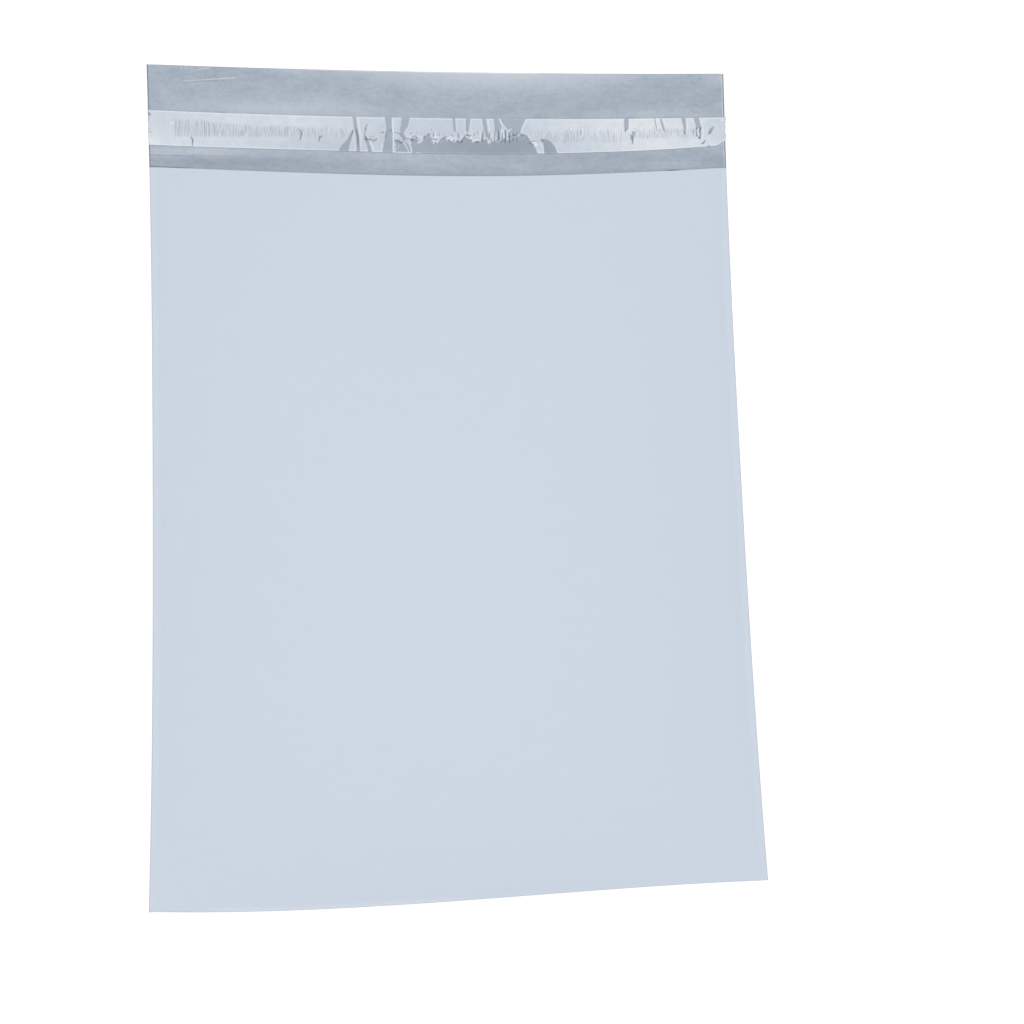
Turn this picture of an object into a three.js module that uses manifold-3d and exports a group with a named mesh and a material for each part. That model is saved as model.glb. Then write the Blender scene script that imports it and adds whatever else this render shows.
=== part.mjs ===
// A poly mailer bag, lying flat on its back with its flap unfolded.
// One length of plastic film is folded once, at the bottom, and welded along both sides. The back
// panel runs on past the mouth as the flap, which carries a strip of adhesive under a release liner.
// Millimetres: X runs across the bag, Y from the bottom fold to the flap, and Z up from the floor.
// The origin is on the floor, in the middle of the bag's outline.

import * as THREE from 'three';
import { mergeVertices } from 'three/addons/utils/BufferGeometryUtils.js';
import Module from 'manifold-3d';

const wasm = await Module();
wasm.setup();

// The flat bag, measured between its corners
const BAG_WIDTH = 356;
const POCKET_LENGTH = 434.7;
const FLAP_LENGTH = 62.6;
const FILM_GAUGE = 0.065;

// The seams: a hot knife's weld along each side, and the crease of the bottom fold
const WELD_WIDTH = 4;
const CREASE_DEPTH = 1;

// Clear height between the panels, where the front one stands off the back one, and how soon it is
// reached from the welds and from the fold: the higher the power, the flatter the panel's middle
const POCKET_RISE = 7;
const MOUTH_RISE = 6;
const WELD_RISE_POWER = 3;
const FOLD_RISE_POWER = 8;

// How far each edge leaves the straight line between its corners, at the middle, and how much
// further it does so towards the left than towards the right
const TOP_BOW = 1.8;
const MOUTH_BOW = 7.6;
const MOUTH_LEAN = -1;
const FOLD_BOW = 2.5;
const FOLD_LEAN = 3.5;
const SIDE_BOW = 2.9;
const SIDE_BOW_POWER = 2.4;
// The mouth was cut a little out of square: its right corner is this much nearer to the flap's edge
const MOUTH_SLANT = 2.5;

// Release liner: its distance from the mouth, at the corners, and its own size. The bow is at the
// middle, and the taper is what its lower edge loses at the right end, from TAPER_START onwards
const LINER_SETBACK = 12;
const LINER_WIDTH = 21.9;
const LINER_BOW = 3;
const LINER_TAPER = 3.8;
const TAPER_START = 0.4;
const LINER_GAUGE = 0.05;

// Adhesive strip: it stays back from the liner's edges
const ADHESIVE_GAUGE = 0.1;
const ADHESIVE_SIDE_MARGIN = 1.5;
const ADHESIVE_END_MARGIN = 1.6;

// Facets
const POCKET_COLUMNS = 24;
const POCKET_ROWS = 30;
const FLAP_ROWS = 4;
const STRIP_COLUMNS = 28;

// The panels' columns: a weld on each side, and the pocket's own columns between them
const PANEL_COLUMNS = POCKET_COLUMNS + 2;

// The share of the half width between the welds, which the edges' bows also go by
function panelShare(column) {
  return THREE.MathUtils.clamp((2 * (column - 1)) / POCKET_COLUMNS - 1, -1, 1);
}

// An edge's distance below its corners' line, at the share s from -1 on the left to 1 on the right
const sag = (bow, lean, s) => (1 - s * s) * (bow - lean * s);

// The fold hangs lowest of all, and the outline is centred on the origin from there
const foldShares = Array.from({ length: PANEL_COLUMNS + 1 }, (_, column) => panelShare(column));
const FOLD_DROP = Math.max(...foldShares.map((s) => sag(FOLD_BOW, FOLD_LEAN, s)));

const HALF_WIDTH = BAG_WIDTH / 2;
const OUTLINE_LENGTH = POCKET_LENGTH + FLAP_LENGTH + FOLD_DROP;
const FOLD_CORNER_Y = FOLD_DROP - OUTLINE_LENGTH / 2;
const MOUTH_CORNER_Y = FOLD_CORNER_Y + POCKET_LENGTH;
const TOP_CORNER_Y = MOUTH_CORNER_Y + FLAP_LENGTH;

// The edges that run across the bag, each as its Y at the share s
const foldEdge = (s) => FOLD_CORNER_Y - sag(FOLD_BOW, FOLD_LEAN, s);
const mouthEdge = (s) => MOUTH_CORNER_Y + (MOUTH_SLANT / 2) * s - sag(MOUTH_BOW, MOUTH_LEAN, s);
const topEdge = (s) => TOP_CORNER_Y - sag(TOP_BOW, 0, s);
const linerBase = (s) => MOUTH_CORNER_Y + LINER_SETBACK - sag(LINER_BOW, 0, s);
const linerTop = (s) => linerBase(s) + LINER_WIDTH;

function linerBottom(s) {
  const alongTaper = Math.max(0, (s - TAPER_START) / (1 - TAPER_START));
  return linerBase(s) + LINER_TAPER * alongTaper ** 2;
}

// Both sides draw in a little between the corners
function halfWidthAt(y) {
  const fromMiddle = Math.abs((2 * y) / OUTLINE_LENGTH);
  return HALF_WIDTH - SIDE_BOW * Math.max(0, 1 - fromMiddle ** SIDE_BOW_POWER);
}

// A closed slab from a box of columns by rows: place(column, row, side) gives each of its points,
// on the lower face where side is 0 and on the upper face where it is 1
function slab(columns, rows, place) {
  const box = new THREE.BoxGeometry(columns, rows, 1, columns, rows, 1);
  box.deleteAttribute('normal');
  box.deleteAttribute('uv');
  const geometry = mergeVertices(box);
  const position = geometry.getAttribute('position');
  for (let i = 0; i < position.count; i++) {
    const column = Math.round(position.getX(i) + columns / 2);
    const row = Math.round(position.getY(i) + rows / 2);
    const side = position.getZ(i) > 0 ? 1 : 0;
    position.setXYZ(i, ...place(column, row, side));
  }
  return geometry;
}

function toSolid(geometry) {
  return new wasm.Manifold(new wasm.Mesh({
    numProp: 3,
    vertProperties: new Float32Array(geometry.getAttribute('position').array),
    triVerts: new Uint32Array(geometry.index.array),
  }));
}

function toGeometry(solid) {
  const mesh = solid.getMesh();
  const geometry = new THREE.BufferGeometry();
  geometry.setAttribute('position', new THREE.BufferAttribute(mesh.vertProperties, 3));
  geometry.setIndex(new THREE.BufferAttribute(mesh.triVerts, 1));
  return geometry;
}

function panelX(column, y) {
  const outer = halfWidthAt(y);
  if (column === 0) return -outer;
  if (column === PANEL_COLUMNS) return outer;
  return (outer - WELD_WIDTH) * panelShare(column);
}

// The pocket's rows: the bottom fold, the end of its crease, and even steps up to the mouth
function pocketShare(row) {
  const crease = CREASE_DEPTH / POCKET_LENGTH;
  return row === 0 ? 0 : crease + ((1 - crease) * (row - 1)) / (POCKET_ROWS - 1);
}

function pocketPoint(column, row) {
  const s = panelShare(column);
  const y = THREE.MathUtils.lerp(foldEdge(s), mouthEdge(s), pocketShare(row));
  return [panelX(column, y), y];
}

function flapPoint(column, row) {
  const s = panelShare(column);
  const y = THREE.MathUtils.lerp(mouthEdge(s), topEdge(s), row / FLAP_ROWS);
  return [panelX(column, y), y];
}

// Clear height between the panels: none in the welds and the crease, steep beside them, and
// nearly level in between
function pocketHeight(column, row) {
  if (row < 2 || column < 2 || column > PANEL_COLUMNS - 2) return 0;
  const t = pocketShare(row);
  const crown = THREE.MathUtils.lerp(POCKET_RISE, MOUTH_RISE, t * t);
  const fromWelds = 1 - Math.abs(panelShare(column)) ** WELD_RISE_POWER;
  const fromFold = 1 - (1 - t) ** FOLD_RISE_POWER;
  return crown * fromWelds * fromFold;
}

function backPanelWithFlap() {
  return slab(PANEL_COLUMNS, POCKET_ROWS + FLAP_ROWS, (column, row, side) => {
    const onFlap = row > POCKET_ROWS;
    const point = onFlap ? flapPoint(column, row - POCKET_ROWS) : pocketPoint(column, row);
    return [...point, side * FILM_GAUGE];
  });
}

function frontPanel() {
  return slab(PANEL_COLUMNS, POCKET_ROWS, (column, row, side) => {
    const inside = FILM_GAUGE + pocketHeight(column, row);
    return [...pocketPoint(column, row), inside + side * FILM_GAUGE];
  });
}

// The folded and welded film: its two panels are one body in the welds and the crease
function filmGeometry() {
  return toGeometry(toSolid(backPanelWithFlap()).add(toSolid(frontPanel())));
}

// A flat strip across the flap, between two edges and from one height to another, whose ends stay
// that far back from the film's sides
function strip(lowEdge, highEdge, endMargin, bottom, top) {
  return slab(STRIP_COLUMNS, 1, (column, row, side) => {
    const s = (2 * column) / STRIP_COLUMNS - 1;
    const y = row === 0 ? lowEdge(s) : highEdge(s);
    return [(halfWidthAt(y) - endMargin) * s, y, side === 0 ? bottom : top];
  });
}

const ADHESIVE_TOP = FILM_GAUGE + ADHESIVE_GAUGE;

function adhesiveGeometry() {
  const low = (s) => linerBottom(s) + ADHESIVE_SIDE_MARGIN;
  const high = (s) => linerTop(s) - ADHESIVE_SIDE_MARGIN;
  return strip(low, high, ADHESIVE_END_MARGIN, FILM_GAUGE, ADHESIVE_TOP);
}

function linerGeometry() {
  return strip(linerBottom, linerTop, 0, ADHESIVE_TOP, ADHESIVE_TOP + LINER_GAUGE);
}

function piece(name, geometry, look) {
  geometry.computeVertexNormals();
  const mesh = new THREE.Mesh(geometry, new THREE.MeshStandardMaterial({ metalness: 0, ...look }));
  mesh.name = name;
  return mesh;
}

const mailer = new THREE.Group();
mailer.name = 'poly_mailer_bag';
mailer.add(piece('mailer_film', filmGeometry(), { color: '#cdd7e3', roughness: 0.5 }));
mailer.add(piece('adhesive_strip', adhesiveGeometry(), { color: '#9ca7b4', roughness: 0.3 }));
mailer.add(piece('release_liner', linerGeometry(), { color: '#d3d9e0', roughness: 0.4 }));

export default mailer;
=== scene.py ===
"""A poly mailer bag, lying flat on its back with its flap unfolded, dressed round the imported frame.

Three pieces take the place of the three CAD nodes: the folded and welded film, the adhesive strip
on its flap, and the wrinkled release liner that covers the strip. Lengths are in millimetres where
no comment says metres, in the frame of the part: X across the bag, Y from the bottom fold to the
flap's edge, Z up from the floor.
"""

import math

import bpy
import numpy as np
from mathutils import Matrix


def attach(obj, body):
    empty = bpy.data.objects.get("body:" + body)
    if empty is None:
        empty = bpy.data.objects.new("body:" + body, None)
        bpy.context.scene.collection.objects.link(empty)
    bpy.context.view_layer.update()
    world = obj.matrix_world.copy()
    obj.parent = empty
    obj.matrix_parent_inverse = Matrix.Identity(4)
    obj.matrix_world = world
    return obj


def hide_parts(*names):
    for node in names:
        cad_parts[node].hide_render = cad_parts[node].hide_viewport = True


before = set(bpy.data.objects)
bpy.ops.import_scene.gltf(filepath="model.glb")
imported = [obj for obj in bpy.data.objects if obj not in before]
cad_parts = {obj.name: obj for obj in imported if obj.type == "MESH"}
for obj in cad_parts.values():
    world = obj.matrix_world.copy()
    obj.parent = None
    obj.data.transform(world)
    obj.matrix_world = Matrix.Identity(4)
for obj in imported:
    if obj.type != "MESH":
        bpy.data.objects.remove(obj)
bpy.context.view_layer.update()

MM = 0.001

# The camera, at the photo's place: metres, degrees and millimetres of focal length
CAMERA_PLACE = (-0.06296, -0.12885, 0.82237)
CAMERA_TURN = (7.31926, -6.47465, -1.99542)
CAMERA_LENS = 49.254

# The flat bag, as in the part
BAG_WIDTH = 356.0
POCKET_LENGTH = 434.7
FLAP_LENGTH = 62.6
FILM_GAUGE = 0.065
WELD_WIDTH = 4.0
CREASE_DEPTH = 1.0
POCKET_RISE = 7.0
MOUTH_RISE = 6.0
WELD_RISE_POWER = 3
FOLD_RISE_POWER = 8
TOP_BOW = 1.8
MOUTH_BOW = 7.6
MOUTH_LEAN = -1.0
FOLD_BOW = 2.5
FOLD_LEAN = 3.5
SIDE_BOW = 2.9
SIDE_BOW_POWER = 2.4
MOUTH_SLANT = 2.5
LINER_SETBACK = 12.0
LINER_WIDTH = 21.9
LINER_BOW = 3.0
LINER_TAPER = 3.8
TAPER_START = 0.4
LINER_GAUGE = 0.05
ADHESIVE_GAUGE = 0.1
ADHESIVE_SIDE_MARGIN = 1.5
ADHESIVE_END_MARGIN = 1.6

HALF_WIDTH = BAG_WIDTH / 2


def sag(bow, lean, s):
    """Distance below the corners' line: one less the share squared, times the bow that leans."""
    return (1 - s * s) * (bow - lean * s)


FOLD_DROP = float(np.max(sag(FOLD_BOW, FOLD_LEAN, np.linspace(-1, 1, 25))))
OUTLINE_LENGTH = POCKET_LENGTH + FLAP_LENGTH + FOLD_DROP
FOLD_CORNER_Y = FOLD_DROP - OUTLINE_LENGTH / 2
MOUTH_CORNER_Y = FOLD_CORNER_Y + POCKET_LENGTH
TOP_CORNER_Y = MOUTH_CORNER_Y + FLAP_LENGTH


# Each edge across the bag is the line between its corners, less its sag at the share s, from -1 on
# the left to 1 on the right


def fold_edge(s):
    return FOLD_CORNER_Y - sag(FOLD_BOW, FOLD_LEAN, s)


def mouth_edge(s):
    return MOUTH_CORNER_Y + MOUTH_SLANT / 2 * s - sag(MOUTH_BOW, MOUTH_LEAN, s)


def top_edge(s):
    return TOP_CORNER_Y - sag(TOP_BOW, 0, s)


def liner_base(s):
    return MOUTH_CORNER_Y + LINER_SETBACK - sag(LINER_BOW, 0, s)


def liner_top(s):
    return liner_base(s) + LINER_WIDTH


def liner_bottom(s):
    """The base line, and the taper times the square of the share past the taper's start."""
    along = np.maximum(0, (s - TAPER_START) / (1 - TAPER_START))
    return liner_base(s) + LINER_TAPER * along**2


def half_width_at(y):
    """Half the width, less the bow times one less the share of the half length to its power."""
    from_middle = np.abs(2 * y / OUTLINE_LENGTH)
    return HALF_WIDTH - SIDE_BOW * np.maximum(0, 1 - from_middle**SIDE_BOW_POWER)


def smooth(low, high, value):
    """0 below low, 1 above high, and between them the smooth step of t squared times three less
    twice t, or the other way round."""
    t = np.clip((value - low) / (high - low), 0, 1)
    return t * t * (3 - 2 * t)


def window(value, rise, fall):
    """1 between a rise and a fall, each a smooth step between two places, and 0 outside them."""
    return smooth(*rise, value) * smooth(*fall, value)


def bell(value, centre, reach, power=2):
    """1 at the centre, less the further a value lies from it, by an even power of the reach."""
    return np.exp(-(((value - centre) / reach) ** power))


# Each random pattern: the step of its lattice, and its seed
FLAP_WAVES = (46, 11)
POCKET_WAVES = (75, 3)
WELD_PUCKERS = (8, 5)
GLUE_RIPPLES = (3, 21)
LINER_WAVES = (6, 41)
LINER_PUCKERS = (0.95, 61)
RAGGED_TEETH = (2.6, 51)
RAGGED_FRINGE = (1.1, 52)
WRINKLE_SEED = 31

# The lattice repeats after so many steps, and starts away from the origin
LATTICE_SIZE = 256
LATTICE_SHIFT = (97.3, 61.7)


def lattice_noise(x, y, step, seed):
    """Random heights from -1 to 1 on a square lattice of that step, joined by smooth steps."""
    table = np.random.default_rng(seed).uniform(-1, 1, (LATTICE_SIZE, LATTICE_SIZE))
    u = x / step + LATTICE_SHIFT[0]
    v = y / step + LATTICE_SHIFT[1]
    i = np.floor(u).astype(int)
    j = np.floor(v).astype(int)
    a = smooth(0, 1, u - i)
    b = smooth(0, 1, v - j)

    def at(p, q):
        return table[p % LATTICE_SIZE, q % LATTICE_SIZE]

    low = at(i, j) * (1 - a) + at(i + 1, j) * a
    high = at(i, j + 1) * (1 - a) + at(i + 1, j + 1) * a
    return low * (1 - b) + high * b


# Objects and meshes


def place_object(name, data, place=(0, 0, 0), turn=(0, 0, 0)):
    """Puts an object of that data into the scene, at a place in metres and turned by radians."""
    thing = bpy.data.objects.new(name, data)
    thing.location = place
    thing.rotation_euler = turn
    bpy.context.scene.collection.objects.link(thing)
    return thing


def strips(lower, upper, downwards=False):
    """Quads between two rows of vertex numbers, or between all rows of a grid of them. Those that
    face down are split along the same diagonal as those above them, so that thin film never meets
    itself."""
    corners = [lower[..., :-1], lower[..., 1:], upper[..., 1:], upper[..., :-1]]
    quads = np.stack(corners, -1).reshape(-1, 4)
    return quads[:, [0, 3, 2, 1]] if downwards else quads


def make_piece(name, points, quads, material, fields=None):
    """A mesh object from points in millimetres, with smooth faces and its own named attributes."""
    mesh = bpy.data.meshes.new(name)
    mesh.vertices.add(len(points))
    mesh.vertices.foreach_set("co", (points * MM).astype(np.float32).ravel())
    mesh.loops.add(quads.size)
    mesh.loops.foreach_set("vertex_index", quads.astype(np.int32).ravel())
    mesh.polygons.add(len(quads))
    mesh.polygons.foreach_set("loop_start", np.arange(0, quads.size, 4, dtype=np.int32))
    mesh.update(calc_edges=True)
    mesh.validate()
    mesh.shade_smooth()
    for field, values in (fields or {}).items():
        attribute = mesh.attributes.new(field, "FLOAT", "POINT")
        attribute.data.foreach_set("value", values.astype(np.float32).ravel())
    mesh.materials.append(material)
    return place_object(name, mesh)


def stacked(*skins):
    """The points of several skins, one after another, each skin given as its x, y and z."""
    return np.concatenate([np.stack(skin, -1).reshape(-1, 3) for skin in skins])


def closed_slab(x, y, low, high):
    """Points and quads of a slab over a grid: the low face, the high face and a wall all round."""
    rows, columns = x.shape
    under = np.arange(rows * columns).reshape(rows, columns)
    over = under + rows * columns
    quads = np.concatenate([
        strips(over[:-1], over[1:]),
        strips(under[:-1], under[1:], downwards=True),
        strips(under[0], over[0]),
        strips(over[-1], under[-1]),
        strips(over[:, 0], under[:, 0]),
        strips(under[:, -1], over[:, -1]),
    ])
    return stacked((x, y, low), (x, y, high)), quads


# Materials


def srgb(text):
    """A hex colour as written on screen, turned to the linear values that the shaders take."""
    parts = [int(text[i : i + 2], 16) / 255 for i in (1, 3, 5)]
    linear = [c / 12.92 if c <= 0.04045 else ((c + 0.055) / 1.055) ** 2.4 for c in parts]
    return (*linear, 1.0)


def add_node(tree, kind, links=None, **settings):
    """Adds a shader node with its settings, and fills inputs, each by its name or number: with a
    socket, another node's first output in use, a hex colour or a plain value."""
    node = tree.nodes.new("ShaderNode" + kind)
    for name, value in settings.items():
        setattr(node, name, value)
    for name, value in (links or {}).items():
        named = [socket for socket in node.inputs if socket.enabled and socket.name == name]
        socket = named[0] if named else node.inputs[name]
        if isinstance(value, str):
            value = srgb(value)
        if isinstance(value, bpy.types.Node):
            value = next(output for output in value.outputs if output.enabled)
        if isinstance(value, bpy.types.NodeSocket):
            tree.links.new(value, socket)
        else:
            socket.default_value = value
    return node


def new_material(name, surface):
    """A material whose surface is a function of its tree and of the place on the piece."""
    material = bpy.data.materials.new(name)
    material.use_nodes = True
    tree = material.node_tree
    tree.nodes.clear()
    place = add_node(tree, "TexCoord").outputs["Object"]
    add_node(tree, "OutputMaterial", {"Surface": surface(tree, place)})
    return material


# A drawn line fades out from so far inside its edge to so far outside it
LINE_FADE_INSIDE = 0.15
LINE_FADE_OUTSIDE = 0.25


def line_mask(tree, place, start, end, width):
    """1 on a straight line between two points in millimetres, and 0 beyond its width, by the
    distance from a place to its foot on the line, kept between the ends."""
    run = np.subtract(end, start)
    origin = (start[0] * MM, start[1] * MM, 0)
    along = (*(run / (run @ run) / MM), 0)
    from_start = add_node(tree, "VectorMath", {0: place, 1: origin}, operation="SUBTRACT")
    share = add_node(tree, "VectorMath", {0: from_start, 1: along}, operation="DOT_PRODUCT")
    kept = add_node(tree, "Clamp", {"Value": share})
    foot = add_node(tree, "VectorMath", {0: (*(run * MM), 0), "Scale": kept}, operation="SCALE")
    away = add_node(tree, "VectorMath", {0: from_start, 1: foot}, operation="DISTANCE")
    outer = (width / 2 + LINE_FADE_OUTSIDE) * MM
    inner = (width / 2 - LINE_FADE_INSIDE) * MM
    return add_node(tree, "MapRange", {"Value": away, "From Min": outer, "From Max": inner})


# Creases and fine streaks on the flap, with painted highlights along the creases and painted shadows
# beneath one crease and along the liner's upper edge: from x, y to x, y, width, and how much
# lighter or darker
FLAP_LINES = [
    (-156.8, 240, -142, 241.3, 0.4, 0.4), (-142, 241.3, -126.5, 242.6, 0.6, 0.6),
    (-157, 239.2, -136, 240.9, 0.6, -0.2), (-126.5, 242.6, -118, 244.1, 0.7, 0.12),
    (-151, 238.2, -146.4, 239, 0.5, 0.16), (-153.4, 245.6, -147, 247.5, 0.6, 0.26),
    (-147, 247.5, -139.6, 249.4, 0.5, 0.42), (-157.8, 249.4, -157.3, 247.6, 0.5, 0.42),
    (-155.2, 249.2, -154.2, 247.4, 0.5, 0.34), (-152.6, 249.1, -151.8, 248, 0.4, 0.26),
    (-147.3, 248.8, -139.9, 248.2, 0.4, 0.35), (-176.3, 194.5, -152, 194, 0.3, 0.3),
    (-176.5, 193.6, -150, 193.3, 0.6, -0.22), (-150, 193.3, -118, 192.9, 0.6, -0.1),
    (-177, 221.9, -140, 220.8, 0.3, -0.2), (-137, 220.7, -131, 220.5, 0.5, -0.3),
    (-140, 220.8, -100, 219.95, 0.3, -0.15), (-100, 219.95, -60, 219.3, 0.3, -0.12),
    (100, 220, 177, 222, 0.3, -0.15), (126, 190.9, 158, 191.9, 1, 0.09),
    (84, 220.8, 112, 221.8, 0.5, 0.12), (78, 222.4, 108, 223.4, 0.5, 0.1),
    (-35.4, 219.2, -35.6, 222, 0.3, -0.16), (-33.6, 219.2, -33.7, 221.6, 0.9, -0.06),
    (-32, 219.2, -31.6, 222, 0.3, -0.16), (-22, 219.2, -21.6, 220.4, 1.8, -0.08),
    (-54.5, 219.6, -54.7, 221.4, 0.6, -0.16),
]


def blown_film(tree, place):
    """Blown film of two layers of low-density polyethylene: pale outside, and grey inside with its
    pigment in soft clouds, both satin and with a faint orange peel."""
    inside, tone = (
        add_node(tree, "Attribute", attribute_name=field).outputs["Fac"]
        for field in ("inside", "tone")
    )
    side = add_node(tree, "MapRange", {"Value": inside, "From Min": 0.45, "From Max": 0.55})

    # The film was blown across the bag, so its clouds are twice as long that way: clouds of 16 mm,
    # bluer ones of 7 mm and wisps of 5 mm. Pigment specks under 0.1 mm are drawn as 2.4 mm, to show
    across = add_node(tree, "VectorMath", {0: place, 1: (1, 2, 1)}, operation="MULTIPLY")
    noises = []
    for vector, scale, detail, rough, low, high, most in (
        (across, 62, 5, 0.66, 0.37, 0.63, 1),
        (across, 140, 4, 0.5, 0.4, 0.6, 1),
        (across, 200, 5, 0.5, 0.38, 0.62, 0.3),
        (place, 420, 2, 0.5, 0.35, 0.65, 1),
    ):
        pattern = {"Vector": vector, "Scale": scale, "Detail": detail, "Roughness": rough}
        noise = add_node(tree, "TexNoise", pattern)
        spread = {"Value": noise, "From Min": low, "From Max": high, "To Max": most}
        noises.append(add_node(tree, "MapRange", spread))
    clouds, tint, wisps, specks = noises
    few = add_node(tree, "MapRange", {"Value": specks, "To Max": 0.2})
    grey, bluish, pale = (
        add_node(tree, "Mix", {"Factor": clouds, "A": low, "B": high}, data_type="RGBA")
        for low, high in (("#9AA5B4", "#A7B2C0"), ("#99A7B9", "#A8B3BF"), ("#CCD7E4", "#CDD7E4"))
    )
    for factor, over in ((tint, bluish), (wisps, "#B7C1CC"), (few, "#C0C9D1")):
        grey = add_node(tree, "Mix", {"Factor": factor, "A": grey, "B": over}, data_type="RGBA")
    colour = add_node(tree, "Mix", {"Factor": side, "A": pale, "B": grey}, data_type="RGBA")

    # The tone, from -1 to 1, makes the film lighter or darker: its own clouds, streaks and edges, and
    # painted highlights and painted shadows on creases, rims and the fold, by the mouth's lip and
    # along the liner's edge
    level = add_node(tree, "VectorMath", {0: place, 1: (1, 1, 0)}, operation="MULTIPLY")
    total = 0.0
    for ax, ay, bx, by, width, amount in FLAP_LINES:
        mask = line_mask(tree, level, (ax, ay), (bx, by), width)
        total = add_node(tree, "Math", {0: mask, 1: amount, 2: total}, operation="MULTIPLY_ADD")
    tone = add_node(tree, "Math", {0: total, 1: side, 2: tone}, operation="MULTIPLY_ADD")
    lighter = add_node(tree, "MapRange", {"Value": tone})
    darker = add_node(tree, "MapRange", {"Value": tone, "From Max": -1})
    for factor, over in ((lighter, "#DCE3EA"), (darker, "#626D79")):
        colour = add_node(tree, "Mix", {"Factor": factor, "A": colour, "B": over}, data_type="RGBA")

    # Satin, with an orange peel of about 1 mm
    satin = add_node(tree, "MapRange", {"Value": specks, "To Min": 0.42, "To Max": 0.5})
    peel = add_node(tree, "TexNoise", {"Vector": place, "Scale": 900, "Detail": 2})
    bump = add_node(tree, "Bump", {"Height": peel, "Strength": 0.15, "Distance": 0.00005})
    look = {"Roughness": satin, "IOR": 1.51, "Specular IOR Level": 0.35, "Normal": bump}
    return add_node(tree, "BsdfPrincipled", {"Base Color": colour, **look})


def hot_melt(tree, place):
    """Hot-melt pressure-sensitive adhesive, laid on in one stripe: clear and glossy, so that the
    grey film shows through it, with flow marks of about 6 mm."""
    flow = add_node(tree, "TexNoise", {"Vector": place, "Scale": 160, "Detail": 3})
    flow = add_node(tree, "MapRange", {"Value": flow, "From Min": 0.35, "From Max": 0.65})
    hues = {"Factor": flow, "A": "#97A2AF", "B": "#A1ACB9"}
    colour = add_node(tree, "Mix", hues, data_type="RGBA")
    bump = add_node(tree, "Bump", {"Height": flow, "Strength": 0.4, "Distance": 0.0002})
    look = {"Base Color": colour, "Roughness": 0.22, "IOR": 1.49, "Normal": bump}
    return add_node(tree, "BsdfPrincipled", look)


def release_film(tree, place):
    """Cast polypropylene release film with a silicone coat: milky where it stands off the adhesive,
    and clear, so grey, where it is wetted onto it, with painted highlights and painted shade on the
    creases between the two and on its wrinkles, rim and puckers."""
    wet, painted_highlight, painted_shade, tone = (
        add_node(tree, "Attribute", attribute_name=field).outputs["Fac"]
        for field in ("wet", "painted_highlight", "painted_shade", "tone")
    )

    # Uneven milkiness in spots of about 6 mm, and a frayed border of 1 mm round the wetted places
    spots = add_node(tree, "TexNoise", {"Vector": place, "Scale": 170, "Detail": 4})
    uneven = {"From Min": 0.35, "From Max": 0.65, "To Min": -0.12, "To Max": 0.12}
    spots = add_node(tree, "MapRange", {"Value": spots, **uneven})
    tone = add_node(tree, "Math", {0: tone, 1: spots}, operation="ADD", use_clamp=True)
    low_tone = add_node(tree, "MapRange", {"Value": tone, "From Max": 0.7})
    high_tone = add_node(tree, "MapRange", {"Value": tone, "From Min": 0.7})
    hues = {"Factor": tone, "A": "#919CAB", "B": "#A5B0BE"}
    grey = add_node(tree, "Mix", hues, data_type="RGBA")
    fine = add_node(tree, "TexNoise", {"Vector": place, "Scale": 1100, "Detail": 2})
    frayed = add_node(tree, "Math", {0: fine, 1: 0.6, 2: wet}, operation="MULTIPLY_ADD")
    wet = add_node(tree, "MapRange", {"Value": frayed, "From Min": 0.2, "From Max": 0.4})
    colour = "#BBC5D2"
    layers = ((low_tone, "#D1D9E3"), (high_tone, "#E0E4E9"), (wet, grey))
    # Over it all, the painted highlights and the painted shade
    for factor, over in (*layers, (painted_highlight, "#EDF1F6"), (painted_shade, "#40566A")):
        colour = add_node(tree, "Mix", {"Factor": factor, "A": colour, "B": over}, data_type="RGBA")

    # Glossier where it is smoothed onto the adhesive
    gloss = add_node(tree, "MapRange", {"Value": wet, "To Min": 0.36, "To Max": 0.24})
    bump = add_node(tree, "Bump", {"Height": fine, "Strength": 0.25, "Distance": 0.0001})
    look = {"Base Color": colour, "Roughness": gloss, "IOR": 1.46, "Normal": bump}
    return add_node(tree, "BsdfPrincipled", look)


# The film


def eased(count, ease):
    """Shares from -1 to 1 that lie closer together towards both ends."""
    q = np.linspace(-1, 1, count)
    return (1 - ease) * q + ease * np.sin(q * math.pi / 2)


# The flap's waves: how high they stand, and the share of its length over which they begin
FLAP_WAVE_HEIGHT = 0.5
FLAP_WAVE_START = (0.0, 0.3)


def flap_lift(x, y):
    """How far the flap stands off the floor: noise above zero, times a smooth step from the mouth,
    times one less half the share of the way to the free edge."""
    along = np.clip((y - MOUTH_CORNER_Y) / FLAP_LENGTH, 0, 1)
    wave = 0.5 + 0.5 * lattice_noise(x, y, *FLAP_WAVES)
    return FLAP_WAVE_HEIGHT * wave * smooth(*FLAP_WAVE_START, along) * (1 - 0.5 * along)


# The front panel's puckers beside the welds, drawn out across the bag. The two sides take theirs
# from places of the pattern that lie far apart
PUCKER_HEIGHT = 0.35
PUCKER_START = 2.5
PUCKER_FADE = 9
PUCKER_END = 60
PUCKER_STRETCH = 0.25
PUCKER_SIDES_APART = 400
POCKET_WAVE_HEIGHT = 0.25


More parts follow.
